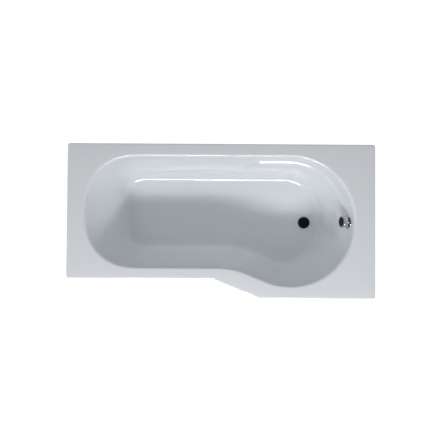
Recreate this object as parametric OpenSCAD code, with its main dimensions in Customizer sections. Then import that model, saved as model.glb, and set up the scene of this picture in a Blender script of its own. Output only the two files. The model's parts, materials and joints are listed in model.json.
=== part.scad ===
// P-shaped shower bath: moulded shell, stiffened rim, steel cradle on adjustable feet,
// pop-up waste worked by a turning overflow knob, and a shallow trap. Millimetres.
// +X runs from the head end to the showering end, +Y to the wall, Z = 0 is the floor.

/* [Bath] */
// Overall length
bath_len = 1700; // [1600:10:1800]
// Width of the showering end
wide_w = 850; // [820:5:880]
// How much wider the showering end is than the narrow end
step_w = 105; // [90:5:120]
// Height at which the bowl's floor stands
stand_h = 160; // [156:1:180]
// Depth of the bowl at the waste
bath_depth = 400; // [370:5:410]
// Fall of the floor over the whole length
floor_fall = 10; // [4:1:16]
// Thickness of the moulded shell
shell_t = 5; // [4:0.5:7]

/* [Rim] */
// Height of the turned-down lip
lip_h = 40; // [30:1:60]
// Radius of the rim's outer edge
edge_r = 7; // [5.5:0.5:9]
// Radius of the four outer corners in plan
corner_r = 15; // [12:1:30]
// Radius of the two corners of the angled step in plan
step_r = 30; // [20:1:60]
// Rim width at the head end
head_deck = 82; // [70:1:110]
// Rim width at the showering end
foot_deck = 98; // [90:1:115]
// Rim width along the wall
rear_deck = 55; // [52:1:70]
// Rim width along the narrow front
front_deck = 49; // [47:1:70]
// Rim width at the widest point of the front
wide_deck = 54; // [50:1:70]
// Rim width across the angled step
step_deck = 87; // [80:1:110]

/* [Bowl] */
// Length of the rounded head end
head_round = 315; // [260:5:340]
// Squareness of the rounded head end, 2 is an ellipse
head_power = 2.3; // [2:0.1:2.8]
// Angle of the step where the bath widens
step_angle = 22; // [18:1:28]
// Radius of the inward curve before the step
step_curve_r = 400; // [250:10:450]
// Radius of the rolled edge between rim and wall
roll_r = 20; // [12:1:24]
// Radius between wall and floor
floor_r = 62; // [40:2:90]
// Radius between backrest and floor
back_floor_r = 60; // [40:5:120]
// How far the floor lies in from the opening, at the backrest
head_run = 225; // [200:5:250]
// The same at the showering end
foot_run = 175; // [160:5:190]
// The same along the wall
rear_run = 135; // [125:1:150]
// The same along the front
front_run = 152; // [135:1:160]
// Width of the arm ledge in the wall side
ledge_w = 18; // [8:1:30]
// Height of the ledge's slope
ledge_h = 12; // [10:1:20]
// Depth of the ledge under the rim at the narrow end
ledge_low = 220; // [160:5:240]
// Depth of the ledge under the rim at the wide end
ledge_high = 100; // [70:5:130]

/* [Base] */
// Thickness of the board under the floor
board_t = 16; // [12:1:20]
// Outer size of the square steel bars
bar_size = 25; // [20:1:30]
// Wall of the steel bars
bar_wall = 2; // [1.5:0.5:3]
// Distance between the steel bars
bar_pitch = 420; // [380:10:430]
// Distance of the foot-end bar from the waste
bar_waste_gap = 117; // [100:1:130]
// Diameter of the screws through the bars
screw_d = 4.5; // [3.5:0.5:5]
// Depth of the screws in the board
screw_bite = 12; // [8:1:14]
// How far the narrow-end feet stand in from the front edge
front_foot_inset = 85; // [80:5:110]
// How far the rear feet stand in from the wall edge
rear_foot_inset = 95; // [80:5:120]
// Width of the timber under the rim
batten_w = 38; // [30:1:42]
// Height of the timber under the rim
batten_h = 20; // [15:1:25]

/* [Wall clips] */
// Distance between the wall clips
clip_pitch = 600; // [400:20:700]
// Width of a wall clip
clip_w = 40; // [34:1:60]
// Height of a wall clip below the lip
clip_h = 50; // [40:1:80]
// Distance between the two screw holes of a clip
clip_hole_gap = 24; // [18:1:26]
// Diameter of the screw holes in a clip
clip_hole_d = 5; // [4:0.5:6]

/* [Feet] */
// Diameter of the threaded studs
stud_d = 12; // [10:1:14]
// Thread pitch of the studs
stud_pitch = 1.75; // [1.25:0.25:2]
// Length of stud above the upper nut
stud_spare = 22; // [18:1:30]
// Width of the nuts across flats
nut_af = 19; // [17:1:22]
// Height of the nuts
nut_h = 10; // [7:0.5:11]
// Diameter of the foot pads
pad_d = 60; // [50:1:70]
// Thickness of the foot pads
pad_t = 4; // [3:0.5:6]
// Height of the foot pads with their socket
pad_h = 22; // [18:1:28]
// Distance between the two screw holes of a pad
pad_hole_gap = 44; // [40:1:46]
// Diameter of the screw holes in a pad
pad_hole_d = 5; // [4:0.5:6]

/* [Waste] */
// Distance of the waste from the showering end
waste_inset = 333; // [315:1:345]
// Diameter of the plug cap
cap_d = 69; // [62:1:72]
// Thickness of the plug cap
cap_t = 4.5; // [3.5:0.5:6]
// Lift of the plug
plug_lift = 12; // [8:1:14]
// Diameter of the waste flange
flange_d = 78; // [74:1:84]
// Diameter of the holes in the shell
hole_d = 52; // [50:1:54]
// Outer diameter of the threaded tail of the waste
tail_d = 47; // [44:1:48]
// Diameter of the waste pipe that plugs into the trap
pipe_d = 40; // [38:1:42]

/* [Overflow] */
// Depth of the overflow's centre under the rim
overflow_drop = 75; // [70:1:90]
// Diameter of the overflow knob
knob_d = 70; // [60:1:74]
// Thickness of the overflow knob
knob_t = 26; // [20:1:30]
// Diameter of the overflow plate
plate_d = 74; // [66:1:78]
// Thickness of the overflow plate
plate_t = 4; // [3:0.5:6]
// Gap between the overflow plate and the knob
knob_gap = 12; // [7:1:14]
// Outer diameter of the overflow hose
hose_d = 27; // [24:1:28]
// Radius of the hose's bend
hose_bend = 60; // [50:5:70]

/* [Hidden] */
$fn = 64;
eps = 0.5;

// --- plan of the rim and of the opening ---
x_head = -bath_len / 2;
x_foot = bath_len / 2;
y_wall = wide_w / 2;
y_wide = -wide_w / 2;
y_narrow = y_wide + step_w;
open_rear = y_wall - rear_deck;
open_front = y_narrow + front_deck;
open_wide = y_wide + wide_deck;
wide_r = (open_rear - open_wide) / 2;
wide_x = x_foot - foot_deck - wide_r;
wide_y = (open_rear + open_wide) / 2;
head_x = x_head + head_deck + head_round;
head_y = (open_rear + open_front) / 2;
head_half = (open_rear - open_front) / 2;
tangent_x = wide_x - wide_r * sin(step_angle);
tangent_y = wide_y - wide_r * cos(step_angle);
curve_end_y = open_front - step_curve_r * (1 - cos(step_angle));
curve_end_x = tangent_x - (curve_end_y - tangent_y) / tan(step_angle);
curve_x = curve_end_x - step_curve_r * sin(step_angle);
step_line_x = tangent_x - step_deck * sin(step_angle);
step_line_y = tangent_y - step_deck * cos(step_angle);
step_end_x = step_line_x + (step_line_y - y_wide) / tan(step_angle);
step_start_x = step_end_x - (y_narrow - y_wide) / tan(step_angle);

// --- heights ---
floor_z = stand_h;
rim_h = stand_h + bath_depth;
under_z = floor_z - shell_t;
board_z = under_z - board_t;
bar_z = board_z - bar_size;

// --- where the waste and the overflow stand ---
waste_x = x_foot - waste_inset;
waste_y = wide_y;

// Numbers of segments in each stretch of the opening's outline
seg_wide = 44;
seg_rear = 22;
seg_head = 30;
seg_front = 10;
seg_curve = 6;
seg_step = 4;
seg_roll = 5;
seg_floor = 6;
ring_n = seg_wide + seg_rear + seg_head + seg_front + seg_curve + seg_step;

function lerp(a, b, t) = a + (b - a) * t;
function smooth(t) = let (c = min(1, max(0, t))) c * c * (3 - 2 * c);
function sgn_pow(v, p) = sign(v) * pow(abs(v), p);
function unit(v) = v / norm(v);

// A point of the rounded head end, with its inward normal
function head_point(a) =
    let (u = sgn_pow(cos(a), 2 / head_power), v = sgn_pow(sin(a), 2 / head_power))
    let (n = -unit([sgn_pow(u, head_power - 1) / head_round, sgn_pow(v, head_power - 1) / head_half]))
    [head_x + head_round * u, head_y + head_half * v, n[0], n[1]];

// The opening's outline, anticlockwise from where the step meets the round end:
// each entry is x, y and the inward normal
opening = concat(
    [for (k = [0:seg_wide - 1]) let (a = lerp(-90 - step_angle, 90, k / seg_wide))
        [wide_x + wide_r * cos(a), wide_y + wide_r * sin(a), -cos(a), -sin(a)]],
    [for (k = [0:seg_rear - 1]) [lerp(wide_x, head_x, k / seg_rear), open_rear, 0, -1]],
    [for (k = [0:seg_head - 1]) head_point(lerp(90, 270, k / seg_head))],
    [for (k = [0:seg_front - 1]) [lerp(head_x, curve_x, k / seg_front), open_front, 0, 1]],
    [for (k = [0:seg_curve - 1]) let (a = step_angle * k / seg_curve)
        [curve_x + step_curve_r * sin(a), open_front - step_curve_r * (1 - cos(a)), sin(a), cos(a)]],
    [for (k = [0:seg_step - 1])
        [lerp(curve_end_x, tangent_x, k / seg_step), lerp(curve_end_y, tangent_y, k / seg_step),
            sin(step_angle), cos(step_angle)]]
);

// Corners of the rim: x, y, radius (negative where the outline turns inwards),
// segments of the corner's arc and of the straight that follows it
rim_corners = [
    [step_end_x, y_wide, step_r, 2, 12],
    [x_foot, y_wide, corner_r, 4, 15],
    [x_foot, y_wall, corner_r, 4, 36],
    [x_head, y_wall, corner_r, 4, 10],
    [x_head, y_narrow, corner_r, 4, 16],
    [step_start_x, y_narrow, -step_r, 2, 7]
];
corner_n = len(rim_corners);

function corner_xy(k) = let (c = rim_corners[(k + corner_n) % corner_n]) [c[0], c[1]];
function edge_normal(k) = let (d = unit(corner_xy(k + 1) - corner_xy(k))) [-d[1], d[0]];

// A corner's arc when the outline is drawn in by e
function corner_arc(k, e) =
    let (n0 = edge_normal(k - 1), n1 = edge_normal(k), c = rim_corners[k])
    let (p = corner_xy(k) + (n0 + n1) * e / (1 + n0 * n1))
    let (r = abs(c[2] - e), side = sign(c[2]))
    let (mid = p + side * (n0 + n1) * r / (1 + n0 * n1))
    [for (j = [0:c[3]]) mid - side * r * unit(lerp(n0, n1, j / c[3]))];

// The rim's outline drawn in by e
function rim_ring(e) =
    let (arcs = [for (k = [0:corner_n - 1]) corner_arc(k, e)])
    [for (k = [0:corner_n - 1])
        let (arc = arcs[k], last = arc[len(arc) - 1], next = arcs[(k + 1) % corner_n][0])
        let (n = rim_corners[k][4], straight = [for (j = [1:n - 1]) lerp(last, next, j / n)])
        for (p = concat(arc, straight)) p];

// --- section of the bowl's wall at one point of the opening ---
// What belongs to the head, foot, wall and front sides, blended by the inward normal
function blend(p, head, foot, rear, front) =
    p[2] * p[2] * (p[2] > 0 ? head : foot) + p[3] * p[3] * (p[3] > 0 ? front : rear);
function run_at(p) = blend(p, head_run, foot_run, rear_run, front_run);
function floor_r_at(p) = blend(p, back_floor_r, floor_r, floor_r, floor_r);
function depth_at(x) = bath_depth - floor_fall * (waste_x - x) / bath_len;

// Slope of the wall that joins the rolled edge and the floor's radius
function slope(run, depth, r) =
    let (rise = depth - r) atan2(rise, run) + asin(r / norm([run, rise]));

// Where the ledge lies under the rim, and how much of it there is
ledge_inset = 60;
ledge_fade_len = 200;
ledge_rise_inset = 120;
ledge_rise_len = 120;
ledge_start = head_x + ledge_inset;
ledge_rise_x = curve_x + ledge_rise_inset;
function ledge_drop(p) = lerp(ledge_low, ledge_high, smooth((p[0] - ledge_rise_x) / ledge_rise_len));
function ledge_amount(p) = p[3] < 0 ? p[3] * p[3] * smooth((p[0] - ledge_start) / ledge_fade_len) : 0;
function ledge_shift(p, drop, top, bottom) =
    let (d = ledge_drop(p), h = ledge_h / 2)
    let (s = 2 * smooth((drop - d + h) / (2 * h)) - 1)
    let (fade = drop < d ? smooth((drop - top) / (d - h - top)) : smooth((bottom - drop) / (bottom - d - h)))
    ledge_w / 2 * ledge_amount(p) * s * fade;

// Drops under the rim at which the straight of the wall is drawn, close together at the ledge
function wall_drops(p, top, bottom) =
    let (d = ledge_drop(p), h = ledge_h / 2)
    [lerp(top, d - h, 0.5), d - h, d - h / 3, d + h / 3, d + h, lerp(d + h, bottom, 0.33),
        lerp(d + h, bottom, 0.67)];

// The wall's section as [inset, drop] pairs from the rim to the floor, offset outwards by off
function wall_section(p, depth, off) =
    let (run = run_at(p), fr = floor_r_at(p))
    let (a = slope(run, depth, roll_r + fr))
    let (top = roll_r * (1 - cos(a)), bottom = depth - fr * (1 - cos(a)))
    concat(
        [for (j = [0:seg_roll]) let (b = a * j / seg_roll)
            [(roll_r - off) * sin(b), roll_r - (roll_r - off) * cos(b)]],
        [for (d = wall_drops(p, top, bottom))
            [roll_r * sin(a) + (d - top) / tan(a) + ledge_shift(p, d, top, bottom) - off * sin(a),
                d + off * cos(a)]],
        [for (j = [0:seg_floor]) let (b = a * (1 - j / seg_floor))
            [run - (fr + off) * sin(b), depth - fr + (fr + off) * cos(b)]]
    );

function place(p, s) = [p[0] + p[2] * s[0], p[1] + p[3] * s[0], rim_h - s[1]];
inner_sections = [for (p = opening) wall_section(p, depth_at(p[0] + p[2] * run_at(p)), 0)];
outer_sections = [for (p = opening) wall_section(p, bath_depth, shell_t)];
section_n = len(inner_sections[0]);
inner_rings = [for (j = [0:section_n - 1])
    [for (i = [0:ring_n - 1]) place(opening[i], inner_sections[i][j])]];
outer_rings = [for (j = [section_n - 1:-1:0])
    [for (i = [0:ring_n - 1]) place(opening[i], outer_sections[i][j])]];

function level(ring, z) = [for (p = ring) [p[0], p[1], z]];
seg_edge = 3;
rim_rings = concat(
    [level(rim_ring(shell_t), rim_h - shell_t), level(rim_ring(shell_t), rim_h - lip_h),
        level(rim_ring(0), rim_h - lip_h)],
    [for (j = [0:seg_edge]) let (b = 90 * j / seg_edge)
        level(rim_ring(edge_r * (1 - cos(b))), rim_h - edge_r * (1 - sin(b)))]
);
shell_rings = concat(outer_rings, rim_rings, inner_rings);

// A closed skin through rings of points, with a fan at each end
module skin(rings, first, last) {
    n = len(rings[0]);
    m = len(rings);
    points = concat([first], [for (r = rings) for (p = r) p], [last]);
    end = len(points) - 1;
    faces = concat(
        [for (i = [0:n - 1]) [0, 1 + i, 1 + (i + 1) % n]],
        [for (j = [0:m - 2]) for (i = [0:n - 1])
            let (a = 1 + j * n + i, b = 1 + j * n + (i + 1) % n)
            for (f = [[a + n, b, a], [a + n, b + n, b]]) f],
        [for (i = [0:n - 1]) [end, 1 + (m - 1) * n + (i + 1) % n, 1 + (m - 1) * n + i]]
    );
    polyhedron(points, faces);
}

// --- overflow: its axis leaves the wall squarely, into the bowl and upwards ---
foot_slope = slope(foot_run, depth_at(x_foot - foot_deck - foot_run), roll_r + floor_r);
foot_top = roll_r * (1 - cos(foot_slope));
seat_cut = 0.3;
overflow_x = x_foot - foot_deck - roll_r * sin(foot_slope) - (overflow_drop - foot_top) / tan(foot_slope);
overflow_z = rim_h - overflow_drop;
fan_x = lerp(head_x, wide_x, 0.75);

// Moves to the overflow's seat on the wall, with Z along its axis into the bowl
module at_overflow() {
    translate([overflow_x, waste_y, overflow_z]) rotate([0, -foot_slope, 0]) translate([0, 0, -seat_cut])
        children();
}

recess_d = flange_d + 4;
recess_depth = 2;
pad_proud = 0.5;
pad_reach = 4;

module bath_shell() {
    color("white") difference() {
        union() {
            skin(shell_rings, [fan_x, waste_y, under_z], [fan_x, waste_y, rim_h - depth_at(fan_x)]);
            at_overflow() translate([0, 0, -shell_t - pad_proud]) cylinder(d = hole_d + 16, h = pad_reach);
        }
        translate([waste_x, waste_y, under_z - eps]) cylinder(d = hole_d, h = shell_t + floor_fall);
        translate([waste_x, waste_y, floor_z - recess_depth]) cylinder(d = recess_d, h = floor_fall);
        at_overflow() translate([0, 0, -2 * shell_t - pad_proud]) cylinder(d = hole_d, h = 8 * shell_t);
        at_overflow() cylinder(d = plate_d + 2, h = 2 * plate_t);
    }
}

// --- board under the floor, cut back around the waste and its pipes ---
board_margin = 8;
board_head_cut = 60;
board_foot_cut = 110;
board_head = x_head + head_deck + head_run + board_margin;
board_foot = x_foot - foot_deck - foot_run - board_margin;
board_rear = open_rear - rear_run - board_margin;
board_front = open_front + front_run + board_margin;
board_wide = open_wide + front_run + board_margin;
notch_w = 96;

// X at which the board's angled edge, parallel to the step, passes a given Y
function board_step_x(y) =
    let (d = front_run + board_margin)
    tangent_x + d * sin(step_angle) + (tangent_y + d * cos(step_angle) - y) / tan(step_angle);

module base_board() {
    color("burlywood") difference() {
        translate([0, 0, board_z]) linear_extrude(board_t) difference() {
            polygon([
                [board_head, board_rear - board_head_cut], [board_head, board_front + board_head_cut],
                [board_head + board_head_cut, board_front],
                [board_step_x(board_front), board_front], [board_step_x(board_wide), board_wide],
                [board_foot - board_foot_cut, board_wide], [board_foot, board_wide + board_foot_cut],
                [board_foot, board_rear - board_foot_cut], [board_foot - board_foot_cut, board_rear],
                [board_head + board_head_cut, board_rear]
            ]);
            translate([waste_x, waste_y]) circle(d = notch_w);
            translate([waste_x, waste_y - notch_w / 2]) square([bath_len, notch_w]);
        }
        for (k = [0:2]) at_screws(k) translate([0, 0, bar_size - eps])
            cylinder(d = screw_d + 2 * screw_gap, h = screw_bite + eps + screw_gap);
    }
}

// --- steel bars ---
bar_x = [for (k = [2:-1:0]) waste_x - bar_waste_gap - k * bar_pitch];
bar_front = [y_narrow + front_foot_inset, y_narrow + front_foot_inset, y_wide + front_foot_inset];
bar_rear = y_wall - rear_foot_inset;
bar_overhang = 25;
board_edges = [board_front, board_front, board_wide];
screw_n = 4;
screw_edge = 26;
screw_gap = 0.05;
screw_tip = 3;
stud_gap = 0.5;

// Places children at the foot of every screw of bar k
module at_screws(k) {
    first = board_edges[k] + screw_edge;
    last = board_rear - screw_edge;
    for (j = [0:screw_n - 1]) translate([bar_x[k], lerp(first, last, j / (screw_n - 1)), bar_z])
        children();
}

module bar(k) {
    start = bar_front[k] - bar_overhang;
    length = bar_rear + bar_overhang - start;
    inner = bar_size - 2 * bar_wall;
    color("silver") difference() {
        translate([bar_x[k] - bar_size / 2, start, bar_z]) cube([bar_size, length, bar_size]);
        translate([bar_x[k] - inner / 2, start - eps, bar_z + bar_wall])
            cube([inner, length + 2 * eps, inner]);
        for (y = [bar_front[k], bar_rear])
            translate([bar_x[k], y, bar_z - eps])
                cylinder(d = stud_d + 2 * stud_gap, h = bar_size + 2 * eps);
        at_screws(k) translate([0, 0, -eps]) cylinder(d = screw_d + 2 * screw_gap, h = bar_size + 2 * eps);
    }
}

module head_rail() { bar(0); }
module middle_rail() { bar(1); }
module foot_rail() { bar(2); }

cap_plate = 2;
cap_plug = 10;
cap_gap = 0.2;

// Plastic plugs in the open ends of the bars
module rail_end_caps() {
    plug_w = bar_size - 2 * bar_wall - 2 * cap_gap;
    color("dimgray") for (k = [0:2]) for (side = [-1, 1]) {
        end = side < 0 ? bar_front[k] - bar_overhang : bar_rear + bar_overhang;
        translate([bar_x[k], end, bar_z + bar_size / 2]) rotate([-90 * side, 0, 0]) {
            translate([0, 0, cap_plate / 2]) cube([bar_size, bar_size, cap_plate], center = true);
            translate([0, 0, -cap_plug / 2 + eps / 2]) cube([plug_w, plug_w, cap_plug + eps], center = true);
        }
    }
}

screw_head_d = 2 * screw_d;
screw_head_t = 2.8;

module rail_screws() {
    color("silver") for (k = [0:2]) at_screws(k) {
        cylinder(d = screw_d, h = bar_size + screw_bite - screw_tip);
        translate([0, 0, bar_size + screw_bite - screw_tip])
            cylinder(d1 = screw_d, d2 = 1, h = screw_tip);
        difference() {
            translate([0, 0, -screw_head_t]) cylinder(d = screw_head_d, h = screw_head_t);
            translate([0, 0, -screw_head_t]) for (a = [0, 90]) rotate([0, 0, a])
                cube([screw_d, 1, 2], center = true);
        }
    }
}

// --- feet: stud and pad move together, the pair of nuts turns on the stud ---
feet = [for (k = [0:2]) for (y = [bar_front[k], bar_rear]) [bar_x[k], y]];
nut_gap = 0.2;
thread_gap = 0.05;
socket_floor = 6;
stud_top = bar_z + bar_size + nut_gap + nut_h + stud_spare;

module leg_stud(k) {
    chamfer = stud_pitch / 2;
    color("silver") translate([feet[k][0], feet[k][1], socket_floor]) {
        cylinder(d = stud_d, h = stud_top - socket_floor - chamfer);
        translate([0, 0, stud_top - socket_floor - chamfer])
            cylinder(d1 = stud_d, d2 = stud_d - 2 * chamfer, h = chamfer);
    }
}

module foot_pad(k) {
    boss_d = pad_hole_gap - pad_hole_d - 7;
    neck_d = stud_d + 10;
    color("dimgray") translate([feet[k][0], feet[k][1], 0]) difference() {
        rotate_extrude() polygon([
            [0, 0], [pad_d / 2, 0], [pad_d / 2, pad_t - 1], [pad_d / 2 - 1, pad_t],
            [boss_d / 2, pad_t], [neck_d / 2, pad_h - 1], [neck_d / 2 - 1, pad_h], [0, pad_h]
        ]);
        translate([0, 0, socket_floor]) cylinder(d = stud_d + 2 * thread_gap, h = pad_h);
        for (side = [-1, 1]) translate([side * pad_hole_gap / 2, 0, -eps])
            cylinder(d = pad_hole_d, h = pad_t + 2 * eps);
    }
}

module leg_nuts(k) {
    color("silver") translate([feet[k][0], feet[k][1], 0])
        for (z = [bar_z - nut_gap - nut_h, bar_z + bar_size + nut_gap]) translate([0, 0, z]) difference() {
            cylinder(d = nut_af / cos(30), h = nut_h, $fn = 6);
            translate([0, 0, -eps]) cylinder(d = stud_d + 2 * thread_gap, h = nut_h + 2 * eps);
        }
}

module leg_stud_1() { leg_stud(0); }
module leg_stud_2() { leg_stud(1); }
module leg_stud_3() { leg_stud(2); }
module leg_stud_4() { leg_stud(3); }
module leg_stud_5() { leg_stud(4); }
module leg_stud_6() { leg_stud(5); }
module foot_pad_1() { foot_pad(0); }
module foot_pad_2() { foot_pad(1); }
module foot_pad_3() { foot_pad(2); }
module foot_pad_4() { foot_pad(3); }
module foot_pad_5() { foot_pad(4); }
module foot_pad_6() { foot_pad(5); }
module leg_nuts_1() { leg_nuts(0); }
module leg_nuts_2() { leg_nuts(1); }
module leg_nuts_3() { leg_nuts(2); }
module leg_nuts_4() { leg_nuts(3); }
module leg_nuts_5() { leg_nuts(4); }
module leg_nuts_6() { leg_nuts(5); }

// --- timber under the rim ---
batten_gap = 2;
batten_in = shell_t + batten_gap;
batten_z = rim_h - shell_t - batten_h;
step_joint = 20;

module batten(x0, y0, x1, y1) {
    color("burlywood") translate([x0, y0, batten_z]) cube([x1 - x0, y1 - y0, batten_h]);
}

module head_batten() {
    batten(x_head + batten_in, y_narrow + corner_r, x_head + batten_in + batten_w, y_wall - corner_r);
}
module foot_batten() {
    batten(x_foot - batten_in - batten_w, y_wide + corner_r, x_foot - batten_in, y_wall - corner_r);
}
module rear_batten() {
    batten(x_head + batten_in + batten_w, y_wall - batten_in - batten_w,
        x_foot - batten_in - batten_w, y_wall - batten_in);
}
module front_batten() {
    batten(x_head + batten_in + batten_w, y_narrow + batten_in, step_start_x - step_joint,
        y_narrow + batten_in + batten_w);
}
module wide_batten() {
    batten(step_end_x + step_joint, y_wide + batten_in, x_foot - batten_in - batten_w,
        y_wide + batten_in + batten_w);
}
module step_batten() {
    length = norm([step_end_x - step_start_x, y_wide - y_narrow]);
    color("burlywood") translate([step_start_x, y_narrow, batten_z]) rotate([0, 0, -step_angle])
        translate([step_joint, batten_in, 0]) cube([length - 2 * step_joint, batten_w, batten_h]);
}

// --- clips that hook the wall-side lip to the wall ---
clip_t = 2;
clip_hook_gap = 0.3;
clip_hole_up = 15;

module wall_clips() {
    hook = y_wall - shell_t - clip_hook_gap;
    lip_z = rim_h - lip_h;
    color("silver") for (k = [-1:1]) translate([k * clip_pitch, 0, 0]) difference() {
        rotate([90, 0, 90]) translate([0, 0, -clip_w / 2]) linear_extrude(clip_w) polygon([
            [y_wall, lip_z - clip_h], [y_wall, lip_z], [hook, lip_z],
            [hook, batten_z - batten_gap], [hook - clip_t, batten_z - batten_gap],
            [hook - clip_t, lip_z - clip_t], [y_wall - clip_t, lip_z - clip_t],
            [y_wall - clip_t, lip_z - clip_h]
        ]);
        for (side = [-1, 1])
            translate([side * clip_hole_gap / 2, y_wall + eps, lip_z - clip_h + clip_hole_up])
                rotate([90, 0, 0]) cylinder(d = clip_hole_d, h = clip_t + 2 * eps);
    }
}

// --- waste, from the floor downwards ---
seal_t = 1;
lower_seal_t = 3.5;
fit_gap = 0.1;
move_gap = 0.3;
recess_z = floor_z - recess_depth;
flange_z = recess_z + seal_t;
flange_t = 2.5;
tail_wall = 3;
tail_len = 18;
tail_z = flange_z - tail_len;
grid_ledge = 5;
grid_t = 3;
body_top = under_z - lower_seal_t;
body_flange_t = 4;
body_wall = 3;
chamber_d = tail_d + 9;
chamber_h = 43.5;
chamber_floor = body_top - chamber_h;
outlet_d = 47.8;
outlet_len = 20;
outlet_z = chamber_floor - body_wall - outlet_len;
outlet_wall = 4.4;
inlet_up = 18;
inlet_z = chamber_floor + inlet_up;
hose_wall = 2.5;
spigot_d = hose_d - 2 * hose_wall - 2 * fit_gap;
spigot_wall = 2.4;
spigot_len = 24;
body_r = chamber_d / 2 + body_wall;
cable_d = 5;
cable_y = 24;
cable_gap = 0.1;
nipple_d = cable_d + 2 * cable_gap + 2 * 1.6;
nipple_len = 9;
cable_seat = 2;

module at_waste(z) {
    translate([waste_x, waste_y, z]) children();
}

module ring(d_in, d_out, h) {
    difference() {
        cylinder(d = d_out, h = h);
        translate([0, 0, -eps]) cylinder(d = d_in, h = h + 2 * eps);
    }
}

module waste_flange() {
    r = flange_d / 2;
    bore = tail_d / 2 - tail_wall;
    ledge_z = -tail_len + grid_ledge;
    color("gainsboro") at_waste(flange_z) rotate_extrude() polygon([
        [bore + 3, flange_t], [r - 2, flange_t], [r - 0.6, flange_t - 0.6], [r, flange_t - 2], [r, 0],
        [tail_d / 2, 0], [tail_d / 2, -tail_len], [bore - 2, -tail_len], [bore - 2, ledge_z],
        [bore, ledge_z], [bore, flange_t - 2]
    ]);
}

module waste_seal_top() {
    color("dimgray") at_waste(recess_z) ring(tail_d + 4 * fit_gap, flange_d - 4, seal_t);
}

module waste_seal_bottom() {
    color("dimgray") at_waste(body_top) ring(tail_d + 4 * fit_gap, flange_d - 2, lower_seal_t);
}

stem_d = 6;
stem_gap = 0.05;
hub_d = 12;
hub_h = 10;
arm_w = 3;

// Cross in the waste's throat, with the guide of the plug's stem
module waste_strainer() {
    outer = tail_d - 2 * tail_wall - 2 * fit_gap;
    color("gainsboro") at_waste(tail_z + grid_ledge) difference() {
        union() {
            ring(outer - 6, outer, grid_t);
            translate([0, 0, grid_t / 2 - hub_h / 2]) cylinder(d = hub_d, h = hub_h);
            for (a = [0, 90]) rotate([0, 0, a]) translate([0, 0, grid_t / 2])
                cube([outer - 3, arm_w, grid_t], center = true);
        }
        translate([0, 0, -hub_h]) cylinder(d = stem_d + 2 * stem_gap, h = 2 * hub_h);
    }
}

// Rocker under the stem: its arm and swing follow from the plug's lift
rocker_half = 17.5;
rocker_len = plug_lift / 2 / sin(rocker_half);
rocker_x = rocker_len * cos(rocker_half);
rocker_z = chamber_floor + 10;
rocker_tip_r = 2.5;
rocker_pin_d = 3;
rocker_crank = 8;
pin_reach = sqrt(pow(body_r, 2) - pow(rocker_x, 2)) - 1;
stem_z = rocker_z - plug_lift / 2 + rocker_tip_r + move_gap;

module waste_body() {
    color("whitesmoke") difference() {
        union() {
            at_waste(chamber_floor - body_wall)
                cylinder(r = body_r, h = body_top - chamber_floor + body_wall);
            at_waste(body_top - body_flange_t) cylinder(d = flange_d, h = body_flange_t);
            at_waste(outlet_z) cylinder(d = outlet_d, h = outlet_len + eps);
            at_waste(inlet_z) rotate([0, 90, 0]) cylinder(d = spigot_d, h = body_r + spigot_len);
            at_waste(inlet_z) translate([0, cable_y, 0]) rotate([0, 90, 0])
                cylinder(d = nipple_d, h = body_r + nipple_len);
        }
        at_waste(tail_z) cylinder(d = tail_d + 2 * fit_gap, h = tail_len + eps);
        at_waste(chamber_floor) cylinder(d = chamber_d, h = tail_z - chamber_floor + eps / 10);
        at_waste(outlet_z - eps)
            cylinder(d = outlet_d - 2 * outlet_wall, h = outlet_len + body_wall + 2 * eps);
        at_waste(inlet_z) rotate([0, 90, 0])
            cylinder(d = spigot_d - 2 * spigot_wall, h = body_r + spigot_len + eps);
        at_waste(inlet_z) translate([body_r - cable_seat, cable_y, 0]) rotate([0, 90, 0])
            cylinder(d = cable_d + 2 * cable_gap, h = spigot_len);
        at_waste(inlet_z) translate([0, cable_y, 0]) rotate([0, 90, 0])
            cylinder(d = cable_d / 2, h = body_r + spigot_len);
        at_waste(rocker_z) translate([rocker_x, 0, 0]) rotate([90, 0, 0])
            cylinder(d = rocker_pin_d + 2 * stem_gap, h = 2 * pin_reach, center = true);
    }
}

module rocker_pin() {
    color("silver") at_waste(rocker_z) translate([rocker_x, 0, 0]) rotate([90, 0, 0])
        cylinder(d = rocker_pin_d, h = 2 * pin_reach, center = true);
}

module lift_rocker() {
    color("whitesmoke") at_waste(rocker_z) translate([rocker_x, 0, 0]) difference() {
        union() {
            rotate([90, 0, 0]) cylinder(d = rocker_pin_d + 5, h = 8, center = true);
            rotate([0, -rocker_half, 0]) translate([-rocker_len, 0, 0]) {
                rotate([90, 0, 0]) cylinder(r = rocker_tip_r, h = 5, center = true);
                translate([0, -2.5, -1.5]) cube([rocker_len, 5, 3]);
            }
            translate([-1.5, -2.5, 0]) cube([3, 5, rocker_crank]);
        }
        rotate([90, 0, 0]) cylinder(d = rocker_pin_d + 2 * stem_gap, h = 9, center = true);
    }
}

// --- plug ---
plug_seal_t = 2;
plug_seal_z = flange_z + flange_t + move_gap;
cap_z = plug_seal_z + plug_seal_t;
cap_boss_d = 13;
cap_boss_h = 8;
stem_top = cap_z - 1.5;

module plug_cap() {
    r = cap_d / 2;
    color("black") at_waste(cap_z) difference() {
        union() {
            rotate_extrude() polygon(concat(
                [[0, 0], [r - 1.5, 0], [r - 0.4, 0.4]],
                [for (a = [0:15:75]) [r - 2 + 2 * cos(a), cap_t - 2.6 + 2 * sin(a)]],
                [[r - 6, cap_t - 0.25], [0, cap_t]]
            ));
            translate([0, 0, -cap_boss_h]) cylinder(d = cap_boss_d, h = cap_boss_h + 1);
        }
        translate([0, 0, -cap_boss_h - eps]) cylinder(d = stem_d + 2 * stem_gap, h = cap_boss_h - 1.5 + eps);
    }
}

module plug_seal() {
    color("dimgray") at_waste(plug_seal_z) ring(cap_boss_d + 4, tail_d + 5, plug_seal_t);
}

module plug_stem() {
    color("silver") at_waste(stem_z) cylinder(d = stem_d, h = stem_top - stem_z);
}

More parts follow.
